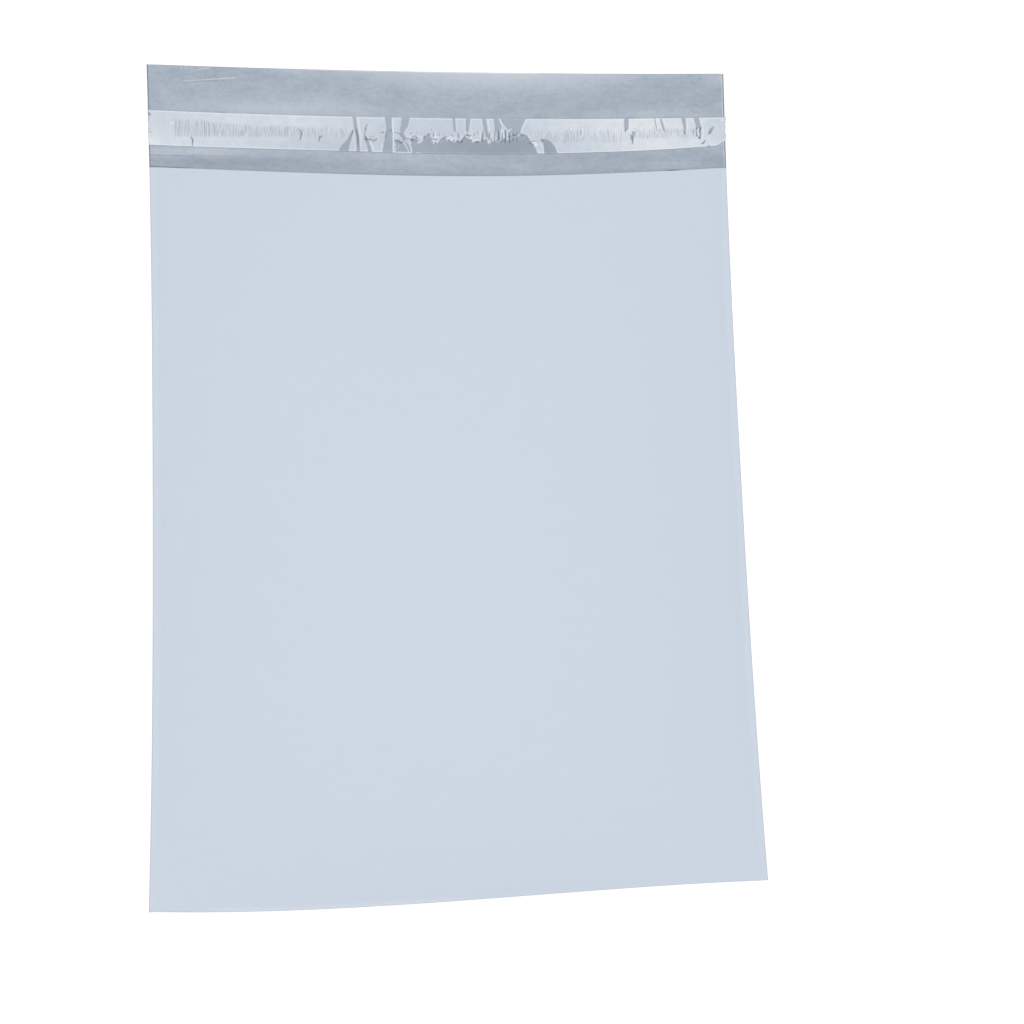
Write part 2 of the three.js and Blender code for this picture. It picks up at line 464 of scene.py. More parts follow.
def pocket_height(s, t, x, y):
    """Clear height of the pocket: the crown, times one less the share's cube, times one less the
    eighth power of what is left of the way from the fold, with low waves and puckers by the
    welds."""
    crown = POCKET_RISE + (MOUTH_RISE - POCKET_RISE) * t * t
    from_welds = 1 - np.abs(s) ** WELD_RISE_POWER
    from_fold = 1 - (1 - t) ** FOLD_RISE_POWER
    plain = crown * from_welds * from_fold
    inwards = np.clip((1 - np.abs(s)) * HALF_WIDTH, 0, PUCKER_END)
    fading = np.exp(-inwards / PUCKER_FADE) * (1 - np.exp(-inwards / PUCKER_START))
    drawn_out = np.sign(s) * PUCKER_SIDES_APART + inwards * PUCKER_STRETCH
    pucker = PUCKER_HEIGHT * fading * (1 + lattice_noise(drawn_out, y, *WELD_PUCKERS))
    low_wave = POCKET_WAVE_HEIGHT * lattice_noise(x, y, *POCKET_WAVES) * from_welds**2 * from_fold
    return np.maximum(0, plain + pucker * from_fold + low_wave)


# Where the grey inside of the flap is lighter or darker, the darker bands just above the mouth being
# painted shade from its lip: x, y, reach across and along, amount
FLAP_TONES = [
    (30, 249.5, 82, 5.5, 0.42), (32, 242.5, 66, 6.5, 0.28), (100, 247.5, 26, 4.5, 0.16),
    (-90, 248.6, 12, 3, 0.24), (-48, 249, 12, 3, 0.16), (-95, 224, 55, 6, 0.28),
    (-128, 244.5, 46, 5, -0.08), (-30, 230, 14, 6, -0.08), (128, 240, 36, 8, -0.08),
    (100, 229, 34, 6, -0.06), (160, 231, 20, 8, -0.05), (134, 223.5, 28, 3.5, 0.18),
    (176, 248, 9, 5, 0.2), (45, 224, 42, 5, -0.06), (-150, 196.3, 44, 2.4, 0.32),
    (-130, 189.3, 52, 3.3, -0.28), (-14, 192, 22, 6, 0.17), (110, 193.5, 70, 4, -0.11),
    (172, 193.5, 12, 5, -0.2), (-50, 194, 14, 2.5, 0.16), (142, 189.6, 16, 2.2, 0.12),
    (46, 188, 6, 4, 0.12), (170, 239, 14, 6, -0.07), (135, 241, 16, 4, -0.05),
    (-50, 243, 10, 3, -0.07), (-150, 223.5, 26, 2.5, 0.06), (-16, 246, 16, 5, 0.06),
]


# The flap's rims: how far beyond the weld's inner line a painted highlight line and the dark cut
# edge begin, and how wide the painted highlight along the free edge is, and from and to where it
# runs
LIGHT_LINE_FROM = 2.5
CUT_EDGE_FROM = 3.3
FREE_EDGE_LIGHT = 0.55
FREE_EDGE_LIT = (-80, 60)


def flap_tone(x, y, beyond):
    """Lighter and darker clouds, each a bell curve across and along, those just above the mouth
    painted shade from its lip, a dark cut edge, and a painted highlight in a line inside it on the
    right; the flap's free edge has a painted highlight along its middle."""
    tone = np.zeros(x.shape)
    for cx, cy, rx, ry, amount in FLAP_TONES:
        tone += amount * np.exp(-(((x - cx) / rx) ** 2) - ((y - cy) / ry) ** 2)
    from_edge = top_edge(x / half_width_at(y)) - y
    # A painted highlight along the middle of the free edge
    lit = (from_edge < FREE_EDGE_LIGHT) & (x > FREE_EDGE_LIT[0]) & (x < FREE_EDGE_LIT[1])
    tone = np.where(lit, tone + 0.45, tone)
    tone = np.where(beyond < -CUT_EDGE_FROM, -0.7, tone)
    # A painted highlight in a line inside the cut edge on the right
    tone = np.where((beyond > LIGHT_LINE_FROM) & (beyond < CUT_EDGE_FROM), tone + 0.4, tone)
    return np.where(beyond > CUT_EDGE_FROM, -0.75, tone)


# The front panel's rims: how wide the painted shadow line on the mouth's edge is and where it is
# darker, from where to where a weld is faintly light and its edge faintly dark, and how wide the
# painted highlight band on the fold is
MOUTH_RIM = 0.6
MOUTH_DARKER_LEFT = (-150, -158)
MOUTH_DARKER_RIGHT = (141.5, 4.5, 4)
WELD_LIGHT_FROM, WELD_LIGHT_TO = 0.5, 3
WELD_EDGE_FROM = 3.5
FOLD_BAND = 1.9


def front_tone(x, beyond, t):
    """The pale panel's rims: a painted shadow line on the mouth's edge, darker in two stretches where
    the lip lies closest, faint lines along the welds, and a painted highlight band on the left part
    of the fold."""
    outwards = np.abs(beyond)
    weld_light = 0.06 * ((outwards > WELD_LIGHT_FROM) & (outwards < WELD_LIGHT_TO))
    weld = -0.1 * (outwards > WELD_EDGE_FROM) + weld_light
    # Painted shadow of the mouth's lip, deeper in two stretches
    darker = 0.3 * smooth(*MOUTH_DARKER_LEFT, x) + 0.6 * bell(x, *MOUTH_DARKER_RIGHT)
    from_mouth = (1 - t) * POCKET_LENGTH
    tone = np.where(from_mouth < MOUTH_RIM, -0.5 - darker, weld + 0 * x)
    from_fold = t * POCKET_LENGTH
    # A painted highlight band along the left part of the fold
    return tone + 0.35 * (from_fold < FOLD_BAND) * window(x, (-150, -135), (5, -10))


# The film's grid: its columns in a weld, from the cut edge inwards, its columns and rows between
# the welds, with how much closer they lie towards the edges, and how far the last rows lie from
# the mouth and from the flap's free edge
WELD_STEPS = np.array([4.0, 3.4, 3.2, 2.6, 2.4, 0.6, 0.4])
FILM_COLUMNS, COLUMN_EASE = 84, 0.4
POCKET_ROWS, ROW_EASE = 110, 0.35
FLAP_ROWS = 38
MOUTH_LIP = np.array([0.7, 0.55])
FREE_EDGE_LIP = np.array([0.7, 0.5, 0])


def film_piece(material):
    """The folded film as four skins on one grid: the back panel's two faces, which run on as the
    flap, and the front panel's two faces. In the welds and the crease the middle two are one, and
    the faces between them are left out."""
    shares = eased(FILM_COLUMNS, COLUMN_EASE)
    s = np.concatenate([[-1] * len(WELD_STEPS), shares, [1] * len(WELD_STEPS)])
    beyond = np.concatenate([-WELD_STEPS, np.zeros(len(shares)), WELD_STEPS[::-1]])
    crease = CREASE_DEPTH / POCKET_LENGTH
    open_rows = crease + (1 - crease) * (1 + eased(POCKET_ROWS, ROW_EASE)) / 2
    t = np.concatenate([[0, crease / 2], open_rows[:-1], 1 - MOUTH_LIP / POCKET_LENGTH, [1]])
    edge_rows = 1 - FREE_EDGE_LIP / FLAP_LENGTH
    flap = np.concatenate([np.linspace(0, 1, FLAP_ROWS)[1:-1], edge_rows])
    rows, pocket_rows, columns = len(t) + len(flap), len(t), len(s)

    y_pocket = fold_edge(s) + (mouth_edge(s) - fold_edge(s)) * t[:, None]
    y_flap = mouth_edge(s) + (top_edge(s) - mouth_edge(s)) * flap[:, None]
    y = np.concatenate([y_pocket, y_flap])
    x = (half_width_at(y) - WELD_WIDTH) * s + beyond

    back_low = flap_lift(x, y)
    back_high = back_low + FILM_GAUGE
    front_x = x[:pocket_rows]
    height = pocket_height(s, t[:, None], front_x, y_pocket)
    fused = (np.abs(s) == 1)[None, :] | (t <= crease)[:, None]
    height = np.where(fused, 0, height)
    front_low = back_high[:pocket_rows] + height
    front_high = front_low + FILM_GAUGE

    # The points' numbers on each skin
    back_count, front_count = rows * columns, pocket_rows * columns
    underside = np.arange(back_count).reshape(rows, columns)
    floor_skin = underside + back_count
    roof_number = 2 * back_count + np.arange(front_count).reshape(pocket_rows, columns)
    roof_skin = np.where(fused, floor_skin[:pocket_rows], roof_number)
    front_skin = roof_number + front_count
    points = stacked(
        (x, y, back_low),
        (x, y, back_high),
        (front_x, y_pocket, front_low),
        (front_x, y_pocket, front_high),
    )
    last = pocket_rows - 1
    closed = fused[:-1, :-1] & fused[:-1, 1:] & fused[1:, :-1] & fused[1:, 1:]
    hollow = ~closed.ravel()
    quads = np.concatenate([
        strips(underside[:-1], underside[1:], downwards=True),
        strips(floor_skin[last:-1], floor_skin[last + 1 :]),
        strips(floor_skin[:last], floor_skin[1 : last + 1])[hollow],
        strips(roof_skin[:-1], roof_skin[1:], downwards=True)[hollow],
        strips(front_skin[:-1], front_skin[1:]),
        strips(underside[0], floor_skin[0]),
        strips(floor_skin[0], front_skin[0]),
        strips(front_skin[-1], roof_skin[-1]),
        strips(floor_skin[-1], underside[-1]),
        strips(floor_skin[:, 0], underside[:, 0]),
        strips(front_skin[:, 0], floor_skin[:pocket_rows, 0]),
        strips(underside[:, -1], floor_skin[:, -1]),
        strips(floor_skin[:pocket_rows, -1], front_skin[:, -1]),
    ])
    inside = np.zeros(len(points))
    inside[back_count : 2 * back_count + front_count] = 1
    tone = np.zeros(len(points))
    tone[back_count : 2 * back_count] = flap_tone(x, y, beyond).ravel()
    tone[-front_count:] = front_tone(front_x, beyond, t[:, None]).ravel()
    # Roof points in the fused bands belong to no face, so they go
    used = np.zeros(len(points), bool)
    used[quads.ravel()] = True
    renumber = np.cumsum(used) - 1
    fields = {"inside": inside[used], "tone": tone[used]}
    return make_piece("bag_film", points[used], renumber[quads], material, fields)


# The adhesive strip and the release liner


def band_grid(low_edge, high_edge, reach, columns, rows):
    """A grid between two edges across the flap, with its ends that far beyond the film's sides."""
    s = np.linspace(-1, 1, columns)
    v = np.linspace(0, 1, rows)[:, None]
    y = low_edge(s) + (high_edge(s) - low_edge(s)) * v
    return (half_width_at(y) + reach) * s, y


GLUE_COLUMNS, GLUE_ROWS = 240, 20
GLUE_RIPPLE_HEIGHT = 0.015


def adhesive_piece(material):
    """The strip of adhesive, a slab whose face is slightly rippled."""
    x, y = band_grid(
        lambda s: liner_bottom(s) + ADHESIVE_SIDE_MARGIN,
        lambda s: liner_top(s) - ADHESIVE_SIDE_MARGIN,
        -ADHESIVE_END_MARGIN,
        GLUE_COLUMNS,
        GLUE_ROWS,
    )
    base = flap_lift(x, y) + FILM_GAUGE
    ripple = GLUE_RIPPLE_HEIGHT * lattice_noise(x, y, *GLUE_RIPPLES)
    points, quads = closed_slab(x, y, base, base + ADHESIVE_GAUGE + ripple)
    return make_piece("glue_strip", points, quads, material)


# What the depth in a stroke and the distance from a patch's border start from, and the least
# square of a length
NO_STROKE = -9.0
NO_BORDER = 99.0
TINY = 1e-9


def to_segment(x, y, start, end):
    """Where on a segment each point's nearest point lies, from 0 at its start to 1 at its end, and
    how far away it is."""
    dx, dy = end[0] - start[0], end[1] - start[1]
    length2 = max(dx * dx + dy * dy, TINY)
    t = np.clip(((x - start[0]) * dx + (y - start[1]) * dy) / length2, 0, 1)
    return t, np.hypot(x - start[0] - t * dx, y - start[1] - t * dy)


def stroke_field(x, y, strokes):
    """For each point, how far it lies inside the nearest stroke, in millimetres, and below zero
    outside. A stroke is a row of x, y and width for each of its points, and its width changes
    evenly on the way."""
    field = np.full(x.shape, NO_STROKE)
    for stroke in strokes:
        points = np.reshape(stroke, (-1, 3))
        ends = points[1:] if len(points) > 1 else points
        for start, end in zip(points, ends):
            t, away = to_segment(x, y, start, end)
            field = np.maximum(field, (start[2] + (end[2] - start[2]) * t) / 2 - away)
    return field


def patch_field(x, y, corners):
    """How far each point lies inside a patch, a row of its corners' x and y, and below zero outside
    it."""
    away = np.full(x.shape, NO_BORDER)
    inside = np.zeros(x.shape, bool)
    corners = np.reshape(corners, (-1, 2))
    for (ax, ay), (bx, by) in zip(corners, np.roll(corners, -1, axis=0)):
        away = np.minimum(away, to_segment(x, y, (ax, ay), (bx, by))[1])
        side = ax + (y - ay) / ((by - ay) or TINY) * (bx - ax)
        inside ^= ((ay > y) != (by > y)) & (x < side)
    return np.where(inside, away, -away)


# Where the liner lies wetted onto the adhesive, in strokes
WET_STROKES = [
    (-54.2, 219.6, 2.3, -53.4, 212, 2.3, -52.4, 206, 1.9, -52, 196.4, 2.2),
    (-46.3, 214, 0.7, -47.7, 210.5, 1.1, -48.1, 207, 0.9, -47.2, 204.5, 2.4),
    (-46.9, 204, 2, -46.5, 202.5, 2, -44.8, 196, 2.6), (-45.2, 204.6, 1.3, -43.6, 204.4, 0.9),
    (-43.2, 203.2, 1, -42.2, 204.4, 0.8), (-41.6, 203.8, 0.8, -40.9, 205, 0.8),
    (-33.4, 219.6, 4.3, -33.2, 211, 3.3, -33.6, 205, 4.8, -34.5, 196, 6.4),
    (-22.8, 219.4, 5, -23.6, 214, 4.6, -25, 210.8, 3.4), (-25.4, 208.5, 2.4, -24, 205.6, 2.2),
    (6.5, 219, 1.8, 7, 213, 1.6, 7.1, 210.5, 1.7), (15.5, 219, 3, 15, 213, 2.4, 14.6, 210.5, 1.7),
    (25.1, 219, 2.8, 26.2, 212, 2.5, 27, 207.5, 2),
    (32.8, 219, 3.2, 33.9, 213.6, 4.4, 33.5, 210.5, 3.6, 34, 206, 3),
    (114.6, 220, 3, 114.2, 213.5, 2.7, 113.4, 211.6, 0.8),
    (118.6, 211, 1.6, 117.9, 207.4, 1.5, 117.6, 203.4, 0.6), (116.4, 209.8, 0.6, 117, 206.6, 0.7),
    (132.5, 220, 0.8, 133.5, 212.3, 0.6), (136.5, 219.5, 1.4, 138, 213, 1.5, 138.3, 212, 1),
    (150.9, 220.6, 2.9, 151.5, 215, 1.9, 151.2, 210.5, 0.8),
    (159, 221, 3.4, 160.4, 215.5, 3.2, 160.4, 214.8, 2.6),
    (170.2, 215.2, 1.2, 168.4, 213.4, 2.4, 167.4, 211.6, 2, 166.6, 210.3, 0.9),
]
# The same in patches
WET_PATCHES = [
    (-55.2, 211.4, -54.7, 209.4, -58.4, 196, -64, 196, -63, 199.5, -58.6, 204.6, -56.5, 208.4),
    (-29.6, 204.6, -25.8, 204.9, -22.2, 204, -19.4, 200.4, -19.2, 195, -29.6, 195),
    (59.6, 206, 62.6, 206.3, 66, 204.8, 68.5, 202, 70.7, 196, 62, 196, 61.6, 203),
    (35, 220, 51.8, 220, 48.5, 213, 47.6, 208.8, 47, 203, 40, 203, 39.4, 210, 36.9, 213.4),
]
# The upper border of the long wetted stretch, which runs along the lower edge
WET_BORDER = [
    (-20, 205), (-18, 206.4), (-16.5, 204.6), (-15, 202.7), (-13.3, 203.2), (-12, 207),
    (-10, 208.7), (-8, 206.6), (-7, 203.8), (-4.6, 202.5), (-2.6, 204), (-1, 206), (0.6, 206.4),
    (2, 204.6), (3, 205.1), (5, 204), (8, 204.7), (10, 203.6), (12, 206.2), (13.4, 208.4),
    (15, 208.2), (16.6, 205.4), (19, 204), (22, 204.5), (24, 205.5), (27, 204), (30, 204.3),
    (33, 205), (36, 204.5), (40, 206), (47, 208.6), (50, 208.6), (53, 205.6), (54.2, 203.6),
    (56.5, 201), (58, 196.5),
]

# Painted shadows in the gaps between the folds of the liner, and painted highlights on creases that
# catch the light
DARK_STROKES = [
    (-152, 205, 0.6, -151, 203, 1.1, -151.3, 199.5, 0.7),
    (-87.3, 203.8, 0.8, -86.3, 208, 1, -87.4, 210.6, 0.5), (-86.3, 208, 0.6, -85, 210.6, 0.4),
    (-76, 203, 0.7, -75.3, 206, 1, -74, 206, 0.6),
    (-55.4, 210.8, 0.4, -55.6, 208.4, 0.7, -57.2, 205.8, 0.4),
    (-53.3, 211, 0.8, -52.3, 205, 0.9, -52.3, 200, 0.5),
    (-47.8, 207, 0.4, -47.5, 204.6, 1.3, -46.3, 204.3, 0.8), (-45.4, 204.6, 0.5, -44.4, 204.3, 0.6),
    (-45.6, 206.4, 0.4, -42.6, 205.8, 0.5), (-43, 203.3, 0.6, -42.3, 204.3, 0.6),
    (-41.5, 204, 0.4, -41, 204.9, 0.6), (-36.9, 212.7, 0.6), (-47, 213.6, 0.4, -47.8, 210.5, 0.7),
    (-38.6, 209, 0.5, -36.6, 209.1, 0.9), (-34.8, 210, 0.6, -35.6, 206, 0.7),
    (-32, 212, 0.5, -31.5, 207.5, 0.6), (-30, 209, 0.5, -27, 208.5, 0.8, -25.5, 205.4, 0.6),
    (-30, 204, 1, -28.8, 203.4, 0.6), (-28.6, 203.6, 0.6, -26.2, 202.4, 1, -25.2, 203.4, 0.5),
    (-25, 204.8, 0.5, -23.4, 205, 0.8), (-22.4, 205.3, 1, -21.3, 204.5, 0.6),
    (-20.2, 205.6, 0.7, -19.3, 204.1, 1, -18.2, 203.9, 0.6), (-17.4, 203.7, 0.6, -16.6, 202.8, 0.7),
    (-19.4, 206.6, 0.7, -17.6, 207, 0.8, -16.2, 205.6, 0.6), (-19.8, 208.6, 1.2),
    (-17.5, 206.4, 0.7, -16.2, 204.4, 0.8), (-7.6, 211.2, 0.8, -7.5, 210.6, 0.5),
    (-6.3, 209.6, 0.5, -6.2, 207.2, 0.9), (-7.6, 205, 0.5, -4.4, 204.9, 0.8),
    (-1, 205.6, 0.9, 1.6, 206.6, 0.6), (3.4, 204.2, 1.3), (6.2, 204.4, 1.2),
    (7.8, 203.7, 0.5, 9.2, 203.2, 0.9), (10.6, 203.3, 0.8, 11.6, 204.5, 0.9),
    (12.3, 205.7, 0.6, 12.6, 207.6, 0.7), (8.6, 209.4, 0.6, 9.2, 206.4, 0.9),
    (14.6, 207.6, 0.9, 16.6, 207.4, 0.8), (18.9, 209.4, 0.5, 18.4, 207.6, 0.8),
    (20.9, 210, 0.7, 21.1, 208.6, 0.5), (24.1, 210.2, 0.7, 23.9, 207, 1, 23.2, 204, 1),
    (28.6, 210.4, 0.6, 28, 207, 1, 27.4, 204.6, 0.6),
    (31.6, 210, 0.6, 31.2, 207, 0.5, 30.9, 203.6, 1.2),
    (33.7, 210.6, 0.8, 33.8, 206.6, 1.1, 33.4, 203.6, 0.5), (36.2, 209.4, 0.7, 35.8, 205.6, 0.8),
    (38, 211.2, 1, 38.2, 207, 1.1, 37.6, 203.2, 0.9),
    (41, 209.6, 0.5, 40.4, 206.4, 0.9, 40.6, 203.2, 0.9),
    (43, 210, 0.6, 42.8, 206, 0.9, 42, 204, 0.5), (45.2, 208.6, 0.5, 45, 204.4, 0.7),
    (47.2, 208.4, 0.5, 50.4, 208.2, 0.9, 52.8, 205.2, 0.6), (53.4, 204.4, 0.7, 56, 204.4, 0.7),
    (53, 203.6, 0.9, 55, 201.6, 0.6), (60, 205.2, 0.9, 62, 204.6, 0.6),
    (85.5, 212.6, 0.4, 85.4, 208.6, 0.6), (106.3, 212, 0.4, 106.3, 207, 0.6),
    (113.3, 213, 0.5, 113.2, 211.4, 0.8), (117.1, 209.6, 0.4, 117.5, 207.2, 0.8, 117.5, 204.8, 0.5),
    (151.3, 212.5, 0.5, 151.2, 210.4, 1), (158.7, 214.4, 1.1, 158.5, 212, 0.7, 158.9, 209.2, 1.2),
    (161.6, 214.6, 1.1, 160.8, 212.4, 1.4, 161.1, 210.2, 0.9, 160.4, 207.6, 1.4),
    (161.4, 204.4, 0.8, 162.7, 204.4, 1.1, 163.7, 206.2, 0.8),
    (156.9, 213.4, 0.5, 156.7, 210.6, 0.6),
    (-176.9, 221.4, 0.4, -176.8, 210, 0.3, -176.7, 199.9, 0.4), (159.9, 208, 1.2),
    (168.4, 213.2, 0.5, 167, 211.2, 0.8), (165.9, 202.8, 1, 166.9, 202.3, 0.7),
    (-176.6, 219.6, 0.9, -176, 218.2, 0.9), (-177, 208.2, 0.5, -175, 207.6, 0.4),
    (177.6, 218.6, 1, 177.8, 214.4, 1.2), (119.6, 211.2, 0.5, 118.7, 208.2, 0.6),
    (122.4, 212, 0.3, 123.4, 210.4, 0.4), (-34.8, 209.8, 0.4, -33.4, 210.8, 0.6, -31.9, 209.6, 0.5),
    (127.2, 208.6, 0.6, 127.4, 207.4, 0.5), (158.6, 209.2, 0.7, 158.2, 208.8, 0.6),
    (-3.2, 208.6, 0.5, -2.6, 207.6, 0.6), (4.4, 208.4, 0.4, 5.6, 207.6, 0.5, 5.4, 206.6, 0.4),
    (-14.8, 206.2, 0.5, -14.2, 206.4, 0.4), (-12.2, 206.6, 0.5, -12.4, 204.6, 0.7),
]
BRIGHT_STROKES = [
    (-176.8, 206, 0.6, -176.3, 203, 1, -174.4, 200.6, 0.8), (-163.8, 214, 1, -162, 213.4, 0.8),
    (-52.2, 219, 0.7, -51.4, 212, 0.8, -50.8, 208.6, 0.7),
    (-50.6, 209, 0.6, -50.2, 203, 0.5, -50.8, 197, 0.5),
    (-55, 205, 0.6, -54.2, 201, 0.7, -54, 196.6, 0.6), (-47.6, 202, 0.6, -46.4, 197, 0.6),
    (-44.6, 203, 0.7, -43, 198.6, 0.8, -42.6, 196.6, 0.6), (-38, 201.6, 0.5, -38.4, 196.6, 0.6),
    (-30.6, 218.4, 0.7, -31, 211, 0.8, -30.8, 205, 0.7, -31.2, 197, 0.8),
    (-26.6, 204.6, 0.8, -24.2, 202.2, 0.9, -21.7, 197.2, 0.7),
    (-24.4, 204.2, 0.5, -21.6, 202.2, 0.9, -20.2, 199.4, 0.9, -20, 196.6, 0.9),
    (-31, 196.4, 1.2, -20, 196.3, 1.1), (-17.2, 196.2, 0.9, -14.6, 196.2, 0.8),
    (-22, 206.6, 0.6, -18, 206.8, 0.8, -20, 210, 0.7),
    (-16.8, 202.9, 0.8, -14, 202.7, 0.9, -12.6, 204.2, 0.6), (-15.6, 207, 0.9, -13.8, 206.2, 1.2),
    (-5.4, 210, 0.8, -5.4, 205.8, 1.2, -3.4, 206.6, 0.8),
    (-6, 203.6, 1.2, -4, 203.2, 1.4, -2.4, 204.6, 0.6),
    (2.2, 205.2, 0.8, 4, 207, 0.8, 5.4, 205.2, 0.9, 7.4, 206.8, 0.7),
    (10.4, 206, 0.8, 11, 208.6, 0.7), (13, 211, 0.7, 13.8, 207, 1, 16.4, 205.6, 1, 17.8, 208, 0.8),
    (17.2, 218.6, 0.5, 16.6, 212, 0.6, 17.8, 209, 0.6), (13.2, 218.6, 0.5, 13, 212, 0.5),
    (18.4, 204, 0.9, 20.6, 205.4, 0.8), (22.5, 210.4, 0.7, 22.3, 206.4, 0.7),
    (23.2, 218.6, 0.6, 24.2, 212, 0.6), (27.6, 218.6, 0.6, 28.4, 212, 0.6, 29.5, 207, 0.8),
    (30.4, 218.6, 0.5, 30.2, 212, 0.5), (32.8, 210, 0.8, 32.7, 205.6, 0.7),
    (35.3, 211.4, 0.6, 35, 206, 0.8), (37, 211, 0.6, 37, 206.6, 0.8),
    (34.4, 218.8, 0.9, 37, 214.2, 1.1, 39.8, 210.6, 1.1, 42, 212.4, 0.6),
    (39.6, 210, 0.7, 39.4, 205.4, 0.7), (41.8, 210.6, 0.5, 41.6, 206, 0.7),
    (51.8, 218.4, 0.7, 48.8, 213, 0.8, 47.6, 209.6, 0.8),
    (53.6, 205, 0.8, 57.4, 202.4, 1.6, 56, 201, 1), (54, 208, 0.4, 54.2, 205, 0.5),
    (56.4, 208.6, 0.4, 56.6, 205, 0.5), (79.2, 212.6, 1.8, 78.8, 208.6, 0.7),
    (86.3, 213, 0.9, 86, 208, 1), (96.4, 212.8, 1.9, 96.2, 208, 0.8),
    (107.3, 212.2, 1.7, 107, 207, 0.9), (119, 212.6, 0.7, 121, 211, 1.1, 120, 209.2, 0.9),
    (116.8, 219, 0.5, 116.2, 213, 0.6), (153, 219.6, 0.5, 153, 214, 0.6),
    (162.4, 219.8, 0.6, 163, 214, 0.8, 162.6, 208, 0.7), (160, 214, 0.7, 159.8, 209, 0.8),
    (161.2, 205.6, 0.8, 162.6, 205.8, 0.8),
    (119.6, 211.6, 0.7, 121.4, 213.4, 0.8, 124, 213.2, 0.8, 125, 211, 0.7),
    (120.4, 210.4, 0.5, 121.6, 208, 0.6), (158.6, 206.4, 0.7, 160.4, 204.4, 0.8),
    (159.2, 208, 0.5, 161.6, 206.8, 0.5), (175, 219.8, 1, 177.4, 219, 0.9),
    (-29.8, 201.6, 0.7, -30.2, 200.4, 0.6), (-28.8, 199.2, 0.6, -29.6, 198.2, 0.7),
    (-27.4, 201.4, 0.4, -28, 200.2, 0.5), (59.4, 203.6, 0.6, 61, 200, 0.7, 61.4, 196.4, 0.7),
]


# Bands of upright wrinkles, each painted as a line of shade with a painted highlight beside it:
# from and to x, least and most space between them, their upper end at both ends of the band,
# their lower end, and their strength
RIPPLE_BANDS = [
    (-161, -141, 0.8, 1.5, 215.9, 215.5, 205.2, 0.4),
    (-141, -120, 0.7, 1.2, 214.6, 212.6, 205.4, 0.42),
    (-120, -94, 0.7, 1.1, 212.4, 211.9, 205.4, 0.42),
    (-94, -59, 0.8, 1.6, 212.0, 211.6, 205.8, 0.36),
    (-50, -38, 1.6, 3.2, 211.4, 211.4, 206.6, 0.14),
    (-18, 23, 1.0, 2.2, 211.6, 211.2, 207.6, 0.16),
    (52, 60, 0.8, 1.2, 213.2, 212.4, 205.6, 0.3),
    (60, 77, 0.8, 1.5, 210.8, 210.8, 204.0, 0.4),
    (77, 112, 0.8, 1.7, 212.6, 212.8, 204.2, 0.4),
    (119, 147, 0.8, 1.3, 214.0, 213.6, 207.4, 0.42),
    (147, 158, 0.9, 1.5, 213.4, 213.6, 208.0, 0.38),
]


# A wrinkle's width, how much wider it is in its middle, and how far its painted highlight stands
# from it
RIPPLE_WIDTH = (0.12, 0.42)
RIPPLE_SWELL = 0.1
LIGHT_BESIDE = 0.55
# Three in ten wrinkles reach only part of the way up, and three in ten of the others down
SHORTENED = 0.3
SHORT_SHARE = (0.35, 0.7)
# Neighbours lean and bend alike, in waves along the liner, each a little more or less
LEAN_AND_BEND = 0.3
LEAN_AND_BEND_WAVES = np.array([4.3, 2.9])
LEAN_AND_BEND_ODD = 0.24


def ripple_strokes():
    """The wrinkles as strokes of painted shade, each with its strength, at uneven steps along their
    band and bent once, each with a stroke of painted highlight on its right."""
    rng = np.random.default_rng(WRINKLE_SEED)
    painted_shade, light = [], []
    for start, end, least, most, top_start, top_end, low, strength in RIPPLE_BANDS:
        x = start
        while x < end:
            share = (x - start) / (end - start)
            top = top_start + (top_end - top_start) * share + rng.uniform(-1.2, 0.4)
            foot = low + rng.uniform(-0.4, 0.8)
            if rng.random() < SHORTENED:
                top = foot + (top - foot) * rng.uniform(*SHORT_SHARE)
            elif rng.random() < SHORTENED:
                foot = top - (top - foot) * rng.uniform(*SHORT_SHARE)
            odd = rng.uniform(-LEAN_AND_BEND_ODD, LEAN_AND_BEND_ODD, 2)
            lean, bend = LEAN_AND_BEND * np.sin(x / LEAN_AND_BEND_WAVES) + odd
            width = rng.uniform(*RIPPLE_WIDTH)
            middle = (top + foot) / 2 + rng.uniform(-1, 1)
            swollen = width + RIPPLE_SWELL
            path = [(x + lean, top, width), (x + bend, middle, swollen), (x - lean, foot, width)]
            painted_shade.append((strength * rng.uniform(0.5, 1.2), path))
            beside = [(px + LIGHT_BESIDE, py, pw) for px, py, pw in path]
            light.append((strength * rng.uniform(0.5, 1.3), beside))
            x += rng.uniform(least, most)
    return painted_shade, light


# The drawn creases are this much narrower on each side than their widths above, and fade from so
# far outside their edge to so far inside it
STROKE_THINNING = -0.16
STROKE_FADE = (-0.28, 0.22)
# A wrinkle is worked out only this near to it
STROKE_REACH = 2


def cover(field):
    """How much of a grid point a stroke covers, by how far inside it the point lies."""
    return smooth(*STROKE_FADE, field)


def weighed(x, y, strokes):
    """The strongest of the strokes over each point, each by its strength."""
    most = np.zeros(x.shape)
    for strength, path in strokes:
        left = min(px for px, _, _ in path) - STROKE_REACH
        right = max(px for px, _, _ in path) + STROKE_REACH
        near = (x[0] > left) & (x[0] < right)
        part = strength * cover(stroke_field(x[:, near], y[:, near], [path]))
        most[:, near] = np.maximum(most[:, near], part)
    return most


# How milky the dry liner is along its length, from 0 to 1: place, upper half, lower half
LINER_TONES = [
    (-177, 0.64, 0.9), (-165, 0.56, 0.85), (-150, 0.64, 0.7), (-130, 0.74, 0.62),
    (-110, 0.72, 0.52), (-90, 0.78, 0.34), (-70, 0.66, 0.12), (-45, 0.4, 0.2),
    (-10, 0.34, 0.2), (15, 0.34, 0.2), (45, 0.34, 0.2), (68, 0.62, 0.34),
    (90, 0.78, 0.48), (110, 0.95, 0.82), (130, 0.98, 0.9), (150, 0.82, 0.94),
    (172, 0.5, 0.82),
]
# The heights between which the lower half's milkiness turns into the upper half's
TONE_TURN = (201, 212)

